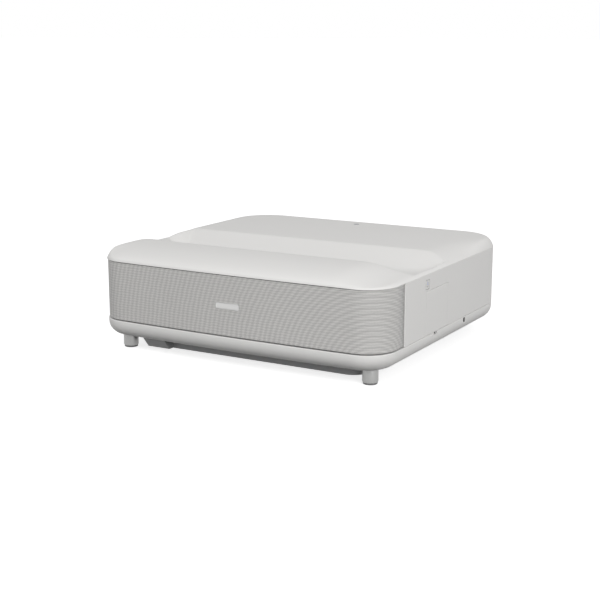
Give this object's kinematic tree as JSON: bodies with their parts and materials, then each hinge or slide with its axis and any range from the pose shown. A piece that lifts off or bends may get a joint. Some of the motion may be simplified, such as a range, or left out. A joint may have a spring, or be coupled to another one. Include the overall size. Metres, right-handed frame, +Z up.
{
  "type": "ultra-short-throw projector",
  "caption": "Low home projector that stands close to the wall: cloth-covered speaker front, projection window sunk in the top, screw feet, side door over the focus lever.",
  "frame": {"origin": "centre of the footprint, on the table surface under the feet", "axes": "+X to the viewer's right when facing the cloth front, +Y towards the wall (the back), +Z up"},
  "size_m": [0.467, 0.445, 0.151],
  "materials": {
    "case_white": "warm off-white moulded plastic with a very fine satin grain",
    "base_grey": "mid-grey moulded plastic in the shade of the case",
    "recess_grey": "dark grey moulded plastic, fine grain",
    "grille_plastic": "grey moulded lattice behind the cloth",
    "speaker_cloth": "light grey open-knit acoustic cloth with fine horizontal ribs",
    "badge_metal": "brushed blank name plate",
    "indicator": "pale blue light guide on its small board",
    "window_glass": "coated flat projection window",
    "window_black": "black gloss plastic",
    "steel_plate": "plated sheet steel and steel screws",
    "engine_casting": "die-cast housing, dark satin",
    "optical_glass": "coated optical glass",
    "panel_blue": "liquid crystal panels",
    "black_plastic": "black glass-filled plastic",
    "mirror_coat": "first-surface aspheric mirror",
    "phosphor": "yellow phosphor disc",
    "fin_aluminium": "stamped fins",
    "pipe_copper": "copper heat pipe",
    "filter_mat": "pleated filter mat",
    "circuit_board": "green solder resist",
    "port_shell": "plated connector shells",
    "part_blue": "sleeved capacitors, coils and heat spreader",
    "basket_steel": "pressed speaker baskets and magnets",
    "cone_paper": "pressed paper cone",
    "insert_brass": "threaded inserts for the feet",
    "foot_metal": "silver-grey satin foot barrel",
    "pad_rubber": "soft foot pad"
  },
  "bodies": {
    "root": {"lower_case": "case_white", "base_pan": "base_grey", "side_shell": "case_white", "top_cover": "case_white", "vent_grille": "case_white", "rear_panel": "recess_grey", "grille_frame": "grille_plastic", "grille_cloth": "speaker_cloth", "front_badge": "badge_metal", "status_light": "indicator", "window_glass": "window_glass", "window_frame": "window_black", "distance_sensor": "window_black", "ir_receivers": "window_black", "chassis_plate": "steel_plate", "engine_case": "engine_casting", "engine_lid": "engine_casting", "prism": "optical_glass", "lcd_panels": "panel_blue", "relay_lenses": "optical_glass", "lens_barrel": "black_plastic", "rear_lens": "optical_glass", "concave_mirror": "mirror_coat", "mirror_bracket": "steel_plate", "laser_module": "engine_casting", "wheel_motor": "steel_plate", "heat_sink": "fin_aluminium", "heat_pipes": "pipe_copper", "fan_frames": "black_plastic", "blower_case": "black_plastic", "main_board": "circuit_board", "board_chips": "black_plastic", "io_ports": "port_shell", "power_board": "circuit_board", "power_parts": "part_blue", "mains_inlet": "black_plastic", "speaker_boxes": "black_plastic", "speaker_drivers": "basket_steel", "foot_nuts": "insert_brass", "rear_feet": "pad_rubber", "case_screws": "steel_plate"},
    "power_key": {"power_button": "case_white"},
    "focus_door": {"side_door": "case_white"},
    "focus": {"focus_ring": "black_plastic", "focus_lever": "steel_plate", "lever_knob": "black_plastic"},
    "front_group": {"focus_cell": "optical_glass"},
    "filter_hatch": {"filter_cover": "base_grey", "air_filter": "filter_mat"},
    "front_fan": {"front_fan_rotor": "black_plastic"},
    "rear_fan": {"rear_fan_rotor": "black_plastic"},
    "blower": {"blower_rotor": "black_plastic"},
    "wheel": {"phosphor_wheel": "phosphor"},
    "left_speaker": {"left_cone": "cone_paper"},
    "right_speaker": {"right_cone": "cone_paper"},
    "bass_speaker": {"woofer_cone": "cone_paper"},
    "left_pad": {"left_foot_pad": "pad_rubber"},
    "left_screw": {"left_foot": "foot_metal"},
    "right_pad": {"right_foot_pad": "pad_rubber"},
    "right_screw": {"right_foot": "foot_metal"}
  },
  "joints": [
    {"name": "power_press", "type": "slide", "parent": "root", "child": "power_key", "axis": [-1, 0, 0], "range_m": [0, 0.0012], "stiffness_N_per_m": 900, "springref_m": -0.001},
    {"name": "door_hinge", "type": "hinge", "parent": "root", "child": "focus_door", "pos_m": [0.232, 0, 0.108], "axis": [0, -1, 0], "range_deg": [0, 95]},
    {"name": "focus_turn", "type": "hinge", "parent": "root", "child": "focus", "pos_m": [0.08, 0.015, 0.078], "axis": [0, 1, 0], "range_deg": [-8, 8]},
    {"name": "focus_shift", "type": "slide", "parent": "root", "child": "front_group", "axis": [0, 1, 0], "range_m": [-0.003, 0.003]},
    {"name": "filter_hinge", "type": "hinge", "parent": "root", "child": "filter_hatch", "pos_m": [0.12, 0.181, 0.0245], "axis": [1, 0, 0], "range_deg": [0, 80]},
    {"name": "front_fan_spin", "type": "hinge", "parent": "root", "child": "front_fan", "pos_m": [-0.207, -0.002, 0.08], "axis": [1, 0, 0], "continuous": true},
    {"name": "rear_fan_spin", "type": "hinge", "parent": "root", "child": "rear_fan", "pos_m": [-0.207, 0.092, 0.08], "axis": [1, 0, 0], "continuous": true},
    {"name": "blower_spin", "type": "hinge", "parent": "root", "child": "blower", "pos_m": [0.16, 0.138, 0.05], "axis": [0, 0, 1], "continuous": true},
    {"name": "wheel_spin", "type": "hinge", "parent": "root", "child": "wheel", "pos_m": [-0.06, 0.131, 0.08], "axis": [1, 0, 0], "continuous": true},
    {"name": "left_cone_move", "type": "slide", "parent": "root", "child": "left_speaker", "axis": [0, 1, 0], "range_m": [-0.0015, 0.0015], "stiffness_N_per_m": 1500},
    {"name": "right_cone_move", "type": "slide", "parent": "root", "child": "right_speaker", "axis": [0, 1, 0], "range_m": [-0.0015, 0.0015], "stiffness_N_per_m": 1500},
    {"name": "bass_cone_move", "type": "slide", "parent": "root", "child": "bass_speaker", "axis": [0, 1, 0], "range_m": [-0.0015, 0.0015], "stiffness_N_per_m": 1500},
    {"name": "left_foot_drop", "type": "slide", "parent": "root", "child": "left_pad", "axis": [0, 0, -1], "range_m": [0, 0.012]},
    {"name": "left_foot_turn", "type": "hinge", "parent": "left_pad", "child": "left_screw", "pos_m": [-0.199, -0.182, 0.012], "axis": [0, 0, 1], "range_deg": [0, 2160]},
    {"name": "right_foot_drop", "type": "slide", "parent": "root", "child": "right_pad", "axis": [0, 0, -1], "range_m": [0, 0.012]},
    {"name": "right_foot_turn", "type": "hinge", "parent": "right_pad", "child": "right_screw", "pos_m": [0.199, -0.182, 0.012], "axis": [0, 0, 1], "range_deg": [0, 2160]}
  ],
  "couplings": [
    {"joint": "focus_shift", "follows": "focus_turn", "m_per_rad": 0.02},
    {"joint": "left_foot_drop", "follows": "left_foot_turn", "m_per_rad": 0.00031831},
    {"joint": "right_foot_drop", "follows": "right_foot_turn", "m_per_rad": 0.00031831}
  ]
}
